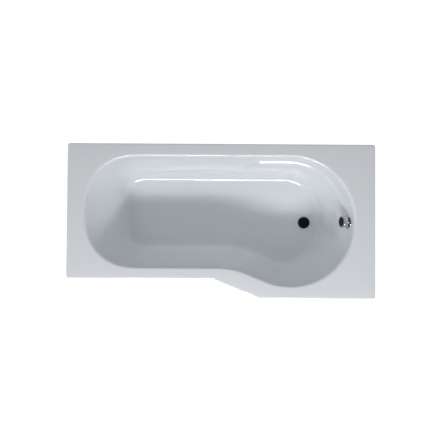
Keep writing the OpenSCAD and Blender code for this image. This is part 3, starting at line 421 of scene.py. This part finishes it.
def texture(made, kind, scale, stretch=(1, 1, 1), **values):
    """A procedural texture in object space, in real metres."""
    tree = made.node_tree
    coords = tree.nodes.new("ShaderNodeTexCoord")
    mapping = tree.nodes.new("ShaderNodeMapping")
    mapping.inputs["Scale"].default_value = stretch
    tree.links.new(coords.outputs["Object"], mapping.inputs["Vector"])
    node = tree.nodes.new(kind)
    tree.links.new(mapping.outputs["Vector"], node.inputs["Vector"])
    node.inputs["Scale"].default_value = scale
    for socket, value in values.items():
        node.inputs[socket.replace("_", " ")].default_value = value
    return node


def spread(made, source, socket, low, high, start=0.3, end=0.7):
    """Sends a texture's value to a number socket, mapped to a range."""
    tree = made.node_tree
    to = tree.nodes.new("ShaderNodeMapRange")
    to.inputs["From Min"].default_value = start
    to.inputs["From Max"].default_value = end
    to.inputs["To Min"].default_value = low
    to.inputs["To Max"].default_value = high
    tree.links.new(source, to.inputs["Value"])
    tree.links.new(to.outputs["Result"], tree.nodes["Principled BSDF"].inputs[socket])


def tint(made, source, *stops):
    """Sends a texture's value through colours to the base colour."""
    tree = made.node_tree
    ramp = tree.nodes.new("ShaderNodeValToRGB")
    while len(ramp.color_ramp.elements) < len(stops):
        ramp.color_ramp.elements.new(0.5)
    for element, (place, color) in zip(ramp.color_ramp.elements, stops):
        element.position = place
        element.color = (*color, 1)
    tree.links.new(source, ramp.inputs["Fac"])
    tree.links.new(ramp.outputs["Color"], tree.nodes["Principled BSDF"].inputs["Base Color"])


def relief(made, source, depth):
    """Adds a bump of a real depth."""
    tree = made.node_tree
    bump = tree.nodes.new("ShaderNodeBump")
    bump.inputs["Distance"].default_value = depth
    bump.inputs["Strength"].default_value = 1
    tree.links.new(source, bump.inputs["Height"])
    tree.links.new(bump.outputs["Normal"], tree.nodes["Principled BSDF"].inputs["Normal"])


def make_acrylic():
    made = material("acrylic", (0.864, 0.89, 0.918), 0.05, IOR=1.49,
                    Coat_Weight=0.5, Coat_Roughness=0.03)
    waves = texture(made, "ShaderNodeTexNoise", 9, Detail=2)
    relief(made, waves.outputs["Fac"], 0.000012)
    wear = texture(made, "ShaderNodeTexNoise", 25, Detail=4)
    spread(made, wear.outputs["Fac"], "Roughness", 0.03, 0.06)
    return made


def make_laminate():
    made = material("laminate", (0.62, 0.6, 0.52), 0.5)
    fibres = texture(made, "ShaderNodeTexNoise", 60, (1, 7, 1), Detail=6, Distortion=2.5)
    tint(made, fibres.outputs["Fac"],
         (0.3, (0.50, 0.48, 0.40)), (0.55, (0.68, 0.66, 0.58)), (0.8, (0.8, 0.79, 0.73)))
    relief(made, fibres.outputs["Fac"], 0.0015)
    return made


def make_chrome():
    made = material("chrome", (0.64, 0.65, 0.665), 0.05, 1.0)
    haze = texture(made, "ShaderNodeTexNoise", 220, Detail=3)
    spread(made, haze.outputs["Fac"], "Roughness", 0.03, 0.09)
    return made


def make_steel():
    made = material("zinc_steel", (0.55, 0.56, 0.57), 0.3, 1.0)
    plate = texture(made, "ShaderNodeTexNoise", 90, Detail=5)
    tint(made, plate.outputs["Fac"],
         (0.3, (0.46, 0.47, 0.48)), (0.6, (0.62, 0.63, 0.63)), (0.8, (0.66, 0.65, 0.6)))
    spread(made, plate.outputs["Fac"], "Roughness", 0.24, 0.42)
    return made


def make_plastic(name, color, roughness, grain=0.00004, **sockets):
    made = material(name, color, roughness, **sockets)
    skin = texture(made, "ShaderNodeTexNoise", 900, Detail=3)
    relief(made, skin.outputs["Fac"], grain)
    flow = texture(made, "ShaderNodeTexNoise", 40, Detail=2)
    spread(made, flow.outputs["Fac"], "Roughness", roughness * 0.85, roughness * 1.15)
    return made


def make_timber(along):
    """Softwood whose grain runs along one axis, 0 for X and 1 for Y."""
    made = material("timber_" + "xy"[along], (0.72, 0.57, 0.38), 0.6)
    stretch = [60, 60, 60]
    stretch[along] = 3
    grain = texture(made, "ShaderNodeTexNoise", 1.2, stretch, Detail=8, Distortion=0.6)
    tint(made, grain.outputs["Fac"],
         (0.3, (0.48, 0.31, 0.16)), (0.5, (0.66, 0.48, 0.28)), (0.72, (0.76, 0.6, 0.4)))
    relief(made, grain.outputs["Fac"], 0.0004)
    return made


def make_chipboard():
    made = material("chipboard", (0.6, 0.46, 0.3), 0.75)
    chips = texture(made, "ShaderNodeTexVoronoi", 260, (1, 1.6, 1))
    tree = made.node_tree
    grey = tree.nodes.new("ShaderNodeRGBToBW")
    tree.links.new(chips.outputs["Color"], grey.inputs["Color"])
    tint(made, grey.outputs["Val"],
         (0.1, (0.42, 0.29, 0.16)), (0.5, (0.62, 0.47, 0.3)), (0.9, (0.75, 0.6, 0.42)))
    relief(made, chips.outputs["Distance"], 0.0003)
    return made


acrylic, laminate = make_acrylic(), make_laminate()
chrome, steel = make_chrome(), make_steel()
black_plastic = make_plastic("black_plastic", (0.02, 0.02, 0.022), 0.45)
white_plastic = make_plastic("white_plastic", (0.72, 0.72, 0.7), 0.38)
rubber = make_plastic("rubber", (0.03, 0.03, 0.03), 0.75, 0.0001)
black_gloss = make_plastic("black_gloss", (0.003, 0.003, 0.0035), 0.12, 0.00001, Specular_IOR_Level=0.2)
timber_x, timber_y = make_timber(0), make_timber(1)
chipboard = make_chipboard()

FINISHES = {
    "acrylic": acrylic, "chipboard": chipboard, "timber": timber_x, "zinc_steel": steel,
    "black_plastic": black_plastic, "chrome": chrome, "black_gloss": black_gloss, "rubber": rubber,
    "white_plastic": white_plastic,
}
TIMBER_ALONG_Y = ("head_batten", "foot_batten")


def dress(part):
    """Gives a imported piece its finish."""
    finish = timber_y if part["node"] in TIMBER_ALONG_Y else FINISHES[part["material_slot"]]
    mesh = nodes[part["node"]].data
    mesh.materials.clear()
    mesh.materials.append(finish)


for part in frame["record"]["subparts"]:
    dress(part)

shell = make_shell()
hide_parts("bath_shell")
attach(shell, "bath")

# --- overflow: a black disc let into the knob's face, painting in the chrome face's dark reflection ---
# DISC_SUNK is how deep the middle of its thickness lies under that face
KNOB_FACE_Z, DISC_SUNK = 0.042, 0.0008
DISC_R, DISC_T, DISC_BEVEL = 0.028, 0.0014, 0.0003


def make_knob_painted_reflection_disc():
    bevel = [(DISC_R, DISC_T - DISC_BEVEL), (DISC_R - DISC_BEVEL, DISC_T)]
    profile = [(0, 0), (DISC_R, 0), *bevel, (0, DISC_T)]
    place = AT_OVERFLOW @ Matrix.Translation((0, 0, KNOB_FACE_Z - DISC_SUNK - DISC_T / 2))
    # Painted reflection: the disc is black where the chrome face would mirror the dark overhead
    disc = add_object("knob_painted_reflection_disc", lathe("knob_painted_reflection_disc", profile), place)
    disc.data.materials.append(black_gloss)
    shade(disc.data)
    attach(disc, "knob")


make_knob_painted_reflection_disc()

# --- feet: studs with a cut thread, nuts with chamfered corners ---
STUD_D, STUD_PITCH, THREAD_DEPTH = 0.012, 0.00175, 0.0009
THREAD_SIDES, THREAD_ROWS = 24, 4
NUT_AF, NUT_H, NUT_CLEARANCE = 0.019, 0.010, 0.0001
NUT_BEVEL, NUT_FLAT_N = math.radians(30), 6
FEET = range(1, 7)


def circle_point(r, a, z):
    return r * math.cos(a), r * math.sin(a), z


def make_thread(name, length):
    """A closed stud with a helical thread, fading out at both ends, standing on z = 0."""
    turns = int(length / STUD_PITCH)
    last = turns * THREAD_ROWS
    mesh = bpy.data.meshes.new(name)
    bm = bmesh.new()
    rows = []
    for j in range(last + 1):
        fade = min(1, j / THREAD_ROWS, turns - j / THREAD_ROWS)
        row = []
        for k in range(THREAD_SIDES):
            turn = j / THREAD_ROWS - k / THREAD_SIDES
            wave = abs(2 * (turn % 1) - 1)
            r = STUD_D / 2 - THREAD_DEPTH * wave * fade - (1 - fade) * THREAD_DEPTH
            row.append(bm.verts.new(circle_point(r, 2 * math.pi * k / THREAD_SIDES, length * j / last)))
        rows.append(row)
    for low, high in zip(rows, rows[1:]):
        for k in range(THREAD_SIDES):
            after = (k + 1) % THREAD_SIDES
            bm.faces.new((low[k], low[after], high[after], high[k]))
    bm.faces.new(rows[0][::-1])
    bm.faces.new(rows[-1])
    bmesh.ops.recalc_face_normals(bm, faces=bm.faces)
    bm.to_mesh(mesh)
    bm.free()
    shade(mesh, 50)
    return mesh


def make_nuts(name, bases):
    """Hexagon nuts at the given heights, their corners rounded off by a cone at both faces."""
    n = 6 * NUT_FLAT_N
    flat_r, corner_r = NUT_AF / 2, NUT_AF / math.sqrt(3)
    rise = (corner_r - flat_r) * math.tan(NUT_BEVEL)
    turns = [2 * math.pi * k / n for k in range(n)]
    hexagon = [flat_r / math.cos((a + math.pi / 6) % (math.pi / 3) - math.pi / 6) for a in turns]
    drop = [rise * (r - flat_r) / (corner_r - flat_r) for r in hexagon]
    inner, hole = [flat_r] * n, [(STUD_D + NUT_CLEARANCE) / 2] * n
    low_face, high_face = [0] * n, [NUT_H] * n
    sections = ((hole, low_face), (inner, low_face), (hexagon, drop),
                (hexagon, [NUT_H - d for d in drop]), (inner, high_face), (hole, high_face))
    mesh = bpy.data.meshes.new(name)
    bm = bmesh.new()
    for base in bases:
        rings = []
        for radii, heights in sections:
            points = [circle_point(r, a, base + z) for r, a, z in zip(radii, turns, heights)]
            rings.append([bm.verts.new(point) for point in points])
        for low, high in zip(rings, rings[1:] + rings[:1]):
            for k in range(n):
                after = (k + 1) % n
                corners = [low[k], low[after], high[after], high[k]]
                if len({tuple(v.co) for v in corners}) > 2:
                    bm.faces.new(corners)
    bmesh.ops.remove_doubles(bm, verts=bm.verts, dist=1e-6)
    bmesh.ops.dissolve_degenerate(bm, edges=bm.edges, dist=1e-7)
    bmesh.ops.recalc_face_normals(bm, faces=bm.faces)
    bm.to_mesh(mesh)
    bm.free()
    shade(mesh, 25)
    return mesh


def stands_for(obj, node, body, finish):
    obj.data.materials.append(finish)
    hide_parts(node)
    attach(obj, body)


def make_foot(k):
    """The stud of one foot and its pair of nuts, in the places of their solids."""
    stud_low, stud_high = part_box(f"leg_stud_{k}")
    nuts_low, nuts_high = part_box(f"leg_nuts_{k}")
    middle = (stud_low + stud_high) / 2
    thread = make_thread(f"thread_{k}", stud_high.z - stud_low.z)
    stud = add_object(f"threaded_stud_{k}", thread, Matrix.Translation((middle.x, middle.y, stud_low.z)))
    stands_for(stud, f"leg_stud_{k}", f"leg_{k}", steel)
    pair = make_nuts(f"nut_{k}", (nuts_low.z, nuts_high.z - NUT_H))
    nuts = add_object(f"hex_nuts_{k}", pair, Matrix.Translation((middle.x, middle.y, 0)))
    stands_for(nuts, f"leg_nuts_{k}", f"nuts_{k}", steel)


for k in FEET:
    make_foot(k)

# --- floor, light and surroundings ---
FLOOR_HALF, FLOOR_GREY, FLOOR_GLOW = 12, (0.2, 0.2, 0.2), 0.97
BACKDROP_R, BLACK, BACKDROP_GLOW = 16, (0, 0, 0), 0.9
LIGHT_TARGET = (0, 0, 0.45)
# Strip lights in front of the bath: name, place, width, height, watts
STRIPS = [
    ("key", (0.0, -3.3, 3.35), 2.7, 0.55, 82),
    ("tube", (0.0, -3.25, 3.3), 2.7, 0.1, 28),
    ("fill", (0.0, -4.4, 2.6), 2.0, 0.5, 16),
]
# Soft walls of light around it: direction, colour, how tightly it is gathered
SOFTBOXES = [
    ((-0.94, 0, 0.34), (0.57, 0.585, 0.6), 2),
    ((0.94, 0, 0.34), (0.39, 0.4, 0.41), 2),
    ((0, 0.5, 0.87), (0.215, 0.225, 0.23), 3),
]


def glowing(name, color, roughness, strength):
    """A matt surface that gives off an even white light of its own."""
    return material(name, color, roughness, Emission_Color=(1, 1, 1, 1), Emission_Strength=strength)


def make_floor():
    mesh = bpy.data.meshes.new("floor")
    corners = [(x * FLOOR_HALF, y * FLOOR_HALF, 0) for x, y in ((-1, -1), (1, -1), (1, 1), (-1, 1))]
    mesh.from_pydata(corners, [], [(0, 1, 2, 3)])
    floor = add_object("floor", mesh)
    mesh.materials.append(glowing("floor", FLOOR_GREY, 0.9, FLOOR_GLOW))


def make_backdrop():
    """A pale dome behind everything. Only the camera sees it, so it adds no light."""
    mesh = bpy.data.meshes.new("backdrop")
    bm = bmesh.new()
    bmesh.ops.create_uvsphere(bm, u_segments=48, v_segments=24, radius=BACKDROP_R)
    bm.to_mesh(mesh)
    bm.free()
    backdrop = add_object("backdrop", mesh)
    backdrop.visible_diffuse = backdrop.visible_glossy = backdrop.visible_transmission = False
    backdrop.visible_shadow = False
    mesh.materials.append(glowing("backdrop", BLACK, 1, BACKDROP_GLOW))


def area_light(name, at, target, width, height, watts):
    data = bpy.data.lights.new(name, "AREA")
    data.shape, data.size, data.size_y, data.energy = "RECTANGLE", width, height, watts
    light = bpy.data.objects.new(name, data)
    light.location = at
    light.rotation_mode = "QUATERNION"
    light.rotation_quaternion = (Vector(target) - Vector(at)).to_track_quat("-Z", "Y")
    scene.collection.objects.link(light)


def make_world():
    """A black world with a soft lobe of light for each soft box."""
    world = bpy.data.worlds.new("world")
    world.use_nodes = True
    scene.world = world
    tree = world.node_tree
    total = tree.nodes["Background"].outputs[0]
    tree.nodes["Background"].inputs["Strength"].default_value = 0
    coords = tree.nodes.new("ShaderNodeTexCoord")
    for direction, color, power in SOFTBOXES:
        facing = tree.nodes.new("ShaderNodeVectorMath")
        facing.operation = "DOT_PRODUCT"
        facing.inputs[1].default_value = direction
        tree.links.new(coords.outputs["Generated"], facing.inputs[0])
        seen = tree.nodes.new("ShaderNodeClamp")
        tree.links.new(facing.outputs["Value"], seen.inputs["Value"])
        soft = tree.nodes.new("ShaderNodeMath")
        soft.operation = "POWER"
        soft.inputs[1].default_value = power
        tree.links.new(seen.outputs["Result"], soft.inputs[0])
        glow = tree.nodes.new("ShaderNodeBackground")
        glow.inputs["Color"].default_value = (*color, 1)
        tree.links.new(soft.outputs["Value"], glow.inputs["Strength"])
        both = tree.nodes.new("ShaderNodeAddShader")
        tree.links.new(total, both.inputs[0])
        tree.links.new(glow.outputs["Background"], both.inputs[1])
        total = both.outputs[0]
    tree.links.new(total, tree.nodes["World Output"].inputs["Surface"])


make_floor()
make_backdrop()
for name, at, width, height, watts in STRIPS:
    area_light(name, at, LIGHT_TARGET, width, height, watts)
make_world()
